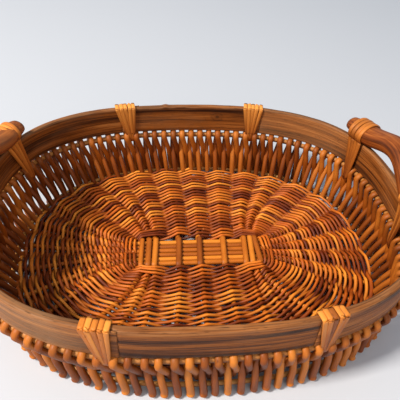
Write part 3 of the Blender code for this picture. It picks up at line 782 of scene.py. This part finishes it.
def board(name, start, end, outside):
    """A bent board with worn edges, thinned at both ends where it is scarfed."""
    gap = JOINT_GAP / RIM.total
    scarf = SCARF_LENGTH / RIM.total
    first = start - scarf / 2 + gap
    last = end + scarf / 2 - gap
    full_from = start + scarf / 2
    full_to = end - scarf / 2
    thin = BOARD_THICKNESS - SCARF_TIP - JOINT_GAP
    count = int((last - first) * RIM.total / 0.0028)
    shares = np.linspace(first, last, count)
    thickness = np.interp(
        shares,
        (first, full_from - gap, full_from, full_to, full_to + gap, last),
        (SCARF_TIP, thin, BOARD_THICKNESS, BOARD_THICKNESS, thin, SCARF_TIP),
    )
    top = BOARD_TOP + wander(count, 34, 0.00045) + wander(count, 7, 0.00012)
    bottom = BOARD_BOTTOM + wander(count, 40, 0.0003)
    if name == "rim_board_back":
        middle = RIM.at(shares)
        top += 0.0016 * np.exp(-((middle[:, 0] + 0.036) / 0.0045) ** 2)
    half = BOARD_THICKNESS / 2
    if outside:
        outer = np.full(count, half)
        inner = half - thickness
    else:
        inner = np.full(count, -half)
        outer = thickness - half
    verts = []
    grain = []
    tint = []
    base = RIM.at(shares)
    out = RIM.normal(shares)
    corner_size = np.minimum(0.0023, thickness * 0.46)
    profile = section_points(26)
    for p in profile:
        across = np.where(p[0] > 0, outer - corner_size, inner + corner_size)
        if abs(p[0]) < 1:
            across = inner + corner_size + (outer - inner - 2 * corner_size) * (p[0] + 1) / 2
        up = np.where(p[1] > 0, top - corner_size, bottom + corner_size)
        if abs(p[1]) < 1:
            up = bottom + corner_size + (top - bottom - 2 * corner_size) * (p[1] + 1) / 2
        across = across + corner_size * p[2]
        up = up + corner_size * p[3]
        place = base + out * across[:, None]
        place[:, 2] = up
        verts.append(place)
        grain.append(np.stack((shares * RIM.total + 3.0 * outside, up, across + 1.0), 1))
        edge = np.clip((abs(p[1]) - 0.9) * 10, 0, 1) * (0.55 if p[1] > 0 else 0.2)
        colour = np.ones((count, 4))
        colour[:, 0] = 0.5
        colour[:, 1] = edge * (0.6 + wander(count, 9, 0.35)).clip(0, 1)
        colour[:, 2] = 0.0
        if name == "rim_board_back":
            reach = np.hypot((place[:, 0] - KNOT_X) / 1.3, place[:, 2] - KNOT_Z)
            heart = np.exp(-((reach / 0.0030) ** 2))
            colour[:, 2] = heart + 0.5 * np.exp(-(((reach - 0.0068) / 0.0012) ** 2))
            # Paler towards its right end: painted light, together with real weathering.
            colour[:, 1] = np.maximum(colour[:, 1], np.clip((place[:, 0] - 0.09) / 0.10, 0.0, 0.4))
        if name == "rim_board_right_end":
            # Paler towards the back: painted light, together with real weathering.
            colour[:, 1] = np.maximum(colour[:, 1], np.clip((place[:, 1] - 0.10) / 0.10, 0.0, 0.4))
        if name == "rim_board_left_end":
            # Painted light: the front of the left end board is made paler, as if lit.
            bloom_and_painted_light = np.clip((-0.09 - place[:, 1]) / 0.09, 0.0, 0.6)
            bloom_and_painted_light = bloom_and_painted_light * np.clip((-0.115 - place[:, 0]) / 0.05, 0.0, 1.0)
            colour[:, 1] = np.maximum(colour[:, 1], bloom_and_painted_light)
        tint.append(colour)
    rings = len(profile)
    verts = np.stack(verts, 1)
    grain = np.stack(grain, 1)
    tint = np.stack(tint, 1)
    faces = []
    for i in range(count - 1):
        for k in range(rings):
            n = (k + 1) % rings
            faces.append((i * rings + k, (i + 1) * rings + k, (i + 1) * rings + n, i * rings + n))
    faces.append(tuple(range(rings)))
    faces.append(tuple(reversed(range((count - 1) * rings, count * rings))))
    skein = Skein()
    skein.add(verts.reshape(-1, 3), faces, grain.reshape(-1, 3), tint.reshape(-1, 4))
    skein.build(name.replace("rim_board", "board"), BOARD, "rim_board", name)


def section_points(steps):
    """Round a board's section: where across and up it lies, and its corner's turn."""
    points = []
    for k in range(5):
        turn = math.pi / 2 * k / 4
        points.append((1, 1, math.cos(turn), math.sin(turn)))
    points += [(0.33, 1, 0, 1), (-0.33, 1, 0, 1)]
    for k in range(5):
        turn = math.pi / 2 * (1 + k / 4)
        points.append((-1, 1, math.cos(turn), math.sin(turn)))
    points += [(-1, 1 - 2 * k / steps, -1, 0) for k in range(1, steps)]
    for k in range(5):
        turn = math.pi * (1 + k / 8)
        points.append((-1, -1, math.cos(turn), math.sin(turn)))
    points += [(-0.33, -1, 0, -1), (0.33, -1, 0, -1)]
    for k in range(5):
        turn = math.pi * (1.5 + k / 8)
        points.append((1, -1, math.cos(turn), math.sin(turn)))
    points += [(1, -1 + 2 * k / steps, 1, 0) for k in range(1, steps)]
    return points


def build_rim():
    back_left = snap_share(BACK_LEFT_LASHING_X, RIM_HALF_WIDTH)
    back_right = snap_share(BACK_RIGHT_LASHING_X, RIM_HALF_WIDTH)
    front_right = snap_share(FRONT_RIGHT_LASHING_X, -RIM_HALF_WIDTH)
    front_left = snap_share(FRONT_LEFT_LASHING_X, -RIM_HALF_WIDTH)
    board("rim_board_back", back_left - 1.0, back_right, False)
    board("rim_board_right_end", back_right, front_right, True)
    board("rim_board_front", front_right, front_left, False)
    board("rim_board_left_end", front_left, back_left, True)


# Handles ------------------------------------------------------------------------------
def handle_place(side, y):
    along = np.atleast_1d(y) - HANDLE_CENTRE_Y - side * HANDLE_SKEW
    share = along / HANDLE_HALF_LENGTH
    x = HANDLE_MIDDLE_X - HANDLE_BOW * share ** 2 - HANDLE_TURN * share
    run = np.minimum(1.0, np.abs(along) / HANDLE_ARCH_HALF_SPAN)
    z = HANDLE_END_Z + HANDLE_RISE * (0.5 + 0.5 * np.cos(math.pi * run))
    return np.stack((side * x, np.atleast_1d(y), z), 1)


def handle_girth(along):
    """The handle's half width this far along from its middle: it narrows at both ends."""
    into_taper = np.abs(along) - HANDLE_HALF_LENGTH + HANDLE_TAPER_START
    near_end = np.clip(into_taper / HANDLE_TAPER_RUN, 0.0, 1.0)
    return HANDLE_RADIUS * (1.0 - HANDLE_TAPER * near_end ** 1.3)


def build_handles():
    for name, side in (("handle_left", -1.0), ("handle_right", 1.0)):
        along = np.linspace(-HANDLE_HALF_LENGTH + 0.004, HANDLE_HALF_LENGTH - 0.004, 110)
        line = handle_place(side, HANDLE_CENTRE_Y + side * HANDLE_SKEW + along)
        line[:, 0] += side * wander(110, 26, 0.0004)
        line[:, 2] += HANDLE_LIFT
        radius = handle_girth(along) + wander(110, 18, 0.00022)
        skein = Skein()
        up = np.array((0.0, 0.0, 1.0))
        # Painted light: the left handle is paler along its middle; the right one is not.
        painted_light = np.clip(1.2 - np.abs(along) / 0.10, 0.0, 1.0) * (0.9 if side < 0 else 0.0)
        skein.tube(
            line, radius, face=up, flat=HANDLE_FLAT, sides=36, pale=painted_light, power=2.15, shade=0.75
        )
        skein.build(name.replace("handle", "grip"), HANDLE, "handle_wood", name)


# Lashings -----------------------------------------------------------------------------
def rounded_loop(corners, radius):
    """A closed loop of (offset, height) corners with each corner turned on a curve."""
    corners = np.asarray(corners, float)
    line = []
    for before, here, after in zip(np.roll(corners, 1, 0), corners, np.roll(corners, -1, 0)):
        one = before - here
        two = after - here
        a = here + one * min(0.45, radius / np.linalg.norm(one))
        b = here + two * min(0.45, radius / np.linalg.norm(two))
        for t in np.linspace(0.0, 1.0, 5):
            line.append(a * (1 - t) ** 2 + here * 2 * t * (1 - t) + b * t ** 2)
    return np.array(line)


def board_loop(out):
    side = BOARD_THICKNESS / 2 + 0.0006 + out
    hoop = TOP_HOOP_RADIUS + 0.0010 + out
    low = TOP_HOOP_Z - TOP_HOOP_RADIUS - 0.0006 - out
    return rounded_loop([
        (-hoop * 0.6, low), (hoop * 0.6, low), (hoop, TOP_HOOP_Z), (side, BOARD_BOTTOM),
        (side, BOARD_TOP + 0.0004 + out), (-side, BOARD_TOP + 0.0004 + out),
        (-side, BOARD_BOTTOM), (-hoop, TOP_HOOP_Z),
    ], 0.0028)


def handle_loop(offset, girth, out):
    hoop = TOP_HOOP_RADIUS + 0.0010 + out
    low = TOP_HOOP_Z - TOP_HOOP_RADIUS - 0.0006 - out
    corners = [(-hoop * 0.6, low), (hoop * 0.6, low), (hoop, TOP_HOOP_Z)]
    for step in range(13):
        turn = math.radians(-38 + step * 256 / 12)
        x = offset + (girth + out) * math.cos(turn)
        z = HANDLE_END_Z + HANDLE_LIFT + (girth * HANDLE_FLAT + out) * math.sin(turn)
        corners.append((x, z))
    corners.append((-hoop, TOP_HOOP_Z))
    return rounded_loop(corners, 0.0030)


def bind(name, share, loop_maker, width, count, node, lean=0.0, drop=0.0, painted_light=0.2):
    """Strands side by side at the top that draw together under the hoop.

    The strands lean this far along the rim at the top, and hang this far under the hoop.
    The last argument is how pale they are at the top: painted light, laid mostly on the back lashings.
    """
    middle = RIM.at(share)[0]
    out = RIM.normal(share)[0]
    along = np.array((out[1], -out[0], 0.0))
    skein = Skein()
    samples = 96
    for i in range(count):
        lane = (i - (count - 1) / 2) / count
        loop = loop_maker(0.0014 + (i % 2) * 0.0005 + RNG.uniform(0.0, 0.0003))
        loop = smooth_line(np.column_stack((loop, np.zeros(len(loop)))), samples, closed=True)
        rise = np.clip((loop[:, 1] - TOP_HOOP_Z) / (BOARD_TOP - TOP_HOOP_Z), 0.0, 1.0)
        low = (1.0 - rise) ** 2
        height = loop[:, 1] - low * (drop + abs(lane) * 0.004)
        shift = lane * width * (0.24 + 0.76 * rise ** 0.8) + lean * rise
        shift += wander(samples, 34, 0.00035) * rise
        offset = loop[:, 0] - low * drop * 0.45
        path = middle + out * offset[:, None] + along * shift[:, None]
        path[:, 2] = height
        core = middle + along * shift[:, None]
        core[:, 2] = np.clip(height, TOP_HOOP_Z, BOARD_TOP - 0.006)
        face = path - core
        wide = width / count * 0.50 * RNG.uniform(0.92, 1.04)
        # Painted shade: darker low down, where the strands gather under the hoop.
        unshaded = np.clip(0.45 + 0.55 * rise, 0.0, 1.0)
        radius = wide * (0.70 + 0.30 * rise)
        skein.tube(
            path, radius, face=face, flat=0.42, sides=12, pale=painted_light * rise, unshaded=unshaded,
            closed=True, power=2.3, shade=0.70,
        )
    skein.build(name, BINDING, "willow_lashing", node)


def build_lashings():
    for end, x, y, lean in (
        ("back_right", BACK_RIGHT_LASHING_X, RIM_HALF_WIDTH, 0.0),
        ("back_left", BACK_LEFT_LASHING_X, RIM_HALF_WIDTH, -0.0080),
        ("front_right", FRONT_RIGHT_LASHING_X, -RIM_HALF_WIDTH, 0.0010),
        ("front_left", FRONT_LEFT_LASHING_X, -RIM_HALF_WIDTH, 0.0070),
    ):
        share = snap_share(x, y)
        # Painted light: the back lashings are made paler at the top than the front ones.
        bind(
            f"binding_{end}", share, board_loop, BOARD_LASHING_WIDTH, BOARD_LASHING_STRANDS,
            f"board_lashing_{end}", lean, painted_light=0.95 if y > 0 else 0.10,
        )
    for name, side, y, lean in (
        ("right_back", 1.0, HANDLE_LASHING_RIGHT_BACK_Y, -0.0030),
        ("right_front", 1.0, HANDLE_LASHING_FRONT_Y, 0.0060),
        ("left_back", -1.0, HANDLE_LASHING_LEFT_BACK_Y, -0.0170),
        ("left_front", -1.0, HANDLE_LASHING_FRONT_Y, -0.0060),
    ):
        share = snap_share(handle_place(side, y)[0, 0], y)
        foot = RIM.at(share)[0]
        across = handle_place(side, foot[1])[0] - foot
        offset = float(across @ RIM.normal(share)[0])

        girth = float(handle_girth(foot[1] - HANDLE_CENTRE_Y - side * HANDLE_SKEW)) + 0.0002

        def loop_maker(out, offset=offset, girth=girth):
            return handle_loop(offset, girth, out)

        node = f"handle_lashing_{name}"
        bind(
            f"grip_binding_{name}", share, loop_maker, HANDLE_LASHING_WIDTH,
            HANDLE_LASHING_STRANDS, node, lean, drop=HANDLE_LASHING_DROP,
        )


# Stage --------------------------------------------------------------------------------
def plain_material(name, colour, roughness):
    material = bpy.data.materials.new(name)
    material.use_nodes = True
    shader = material.node_tree.nodes["Principled BSDF"]
    shader.inputs["Base Color"].default_value = (*colour, 1.0)
    shader.inputs["Roughness"].default_value = roughness
    return material


def area_light(name, place, aim, size, power, colour):
    data = bpy.data.lights.new(name, "AREA")
    data.shape = "SQUARE"
    data.size = size
    data.energy = power
    data.color = colour
    lamp = bpy.data.objects.new(name, data)
    lamp.location = place
    lamp.rotation_euler = (Vector(aim) - Vector(place)).to_track_quat("-Z", "Y").to_euler()
    bpy.context.scene.collection.objects.link(lamp)


def build_stage():
    mesh = bpy.data.meshes.new("floor")
    mesh.from_pydata([(-40, -40, 0), (40, -40, 0), (40, 40, 0), (-40, 40, 0)], [], [(0, 1, 2, 3)])
    mesh.materials.append(plain_material("pale_floor", (0.565, 0.615, 0.70), 0.75))
    floor = bpy.data.objects.new("floor", mesh)
    bpy.context.scene.collection.objects.link(floor)
    world = bpy.data.worlds.new("studio")
    world.use_nodes = True
    world.node_tree.nodes["Background"].inputs["Color"].default_value = (0.88, 0.94, 1.0, 1.0)
    world.node_tree.nodes["Background"].inputs["Strength"].default_value = 0.42
    bpy.context.scene.world = world
    area_light("key", (-2.6, -1.0, 3.3), (0.0, 0.0, 0.05), 0.75, 245.0, (1.0, 0.90, 0.78))
    area_light("fill", (0.3, -1.5, 1.0), (0.0, -0.1, 0.0), 1.2, 8.0, (1.0, 0.80, 0.62))
    bpy.context.scene.view_settings.view_transform = "Standard"


def build_camera():
    data = bpy.data.cameras.new("camera")
    data.lens = CAMERA_LENS
    data.sensor_width = 36.0
    data.clip_start = 0.01
    camera = bpy.data.objects.new("camera", data)
    aim = CAMERA_AIM.normalized()
    level = aim.cross(Vector((0.0, 0.0, 1.0))).normalized()
    above = level.cross(aim)
    right = level * math.cos(CAMERA_ROLL) + above * math.sin(CAMERA_ROLL)
    up = above * math.cos(CAMERA_ROLL) - level * math.sin(CAMERA_ROLL)
    turn = Matrix((right, up, -aim)).transposed()
    camera.matrix_world = Matrix.Translation(CAMERA_PLACE) @ turn.to_4x4()
    bpy.context.scene.collection.objects.link(camera)
    bpy.context.scene.camera = camera


weave_base()
lay_base_sticks()
build_wall()
build_rim()
build_handles()
build_lashings()
build_stage()
build_camera()
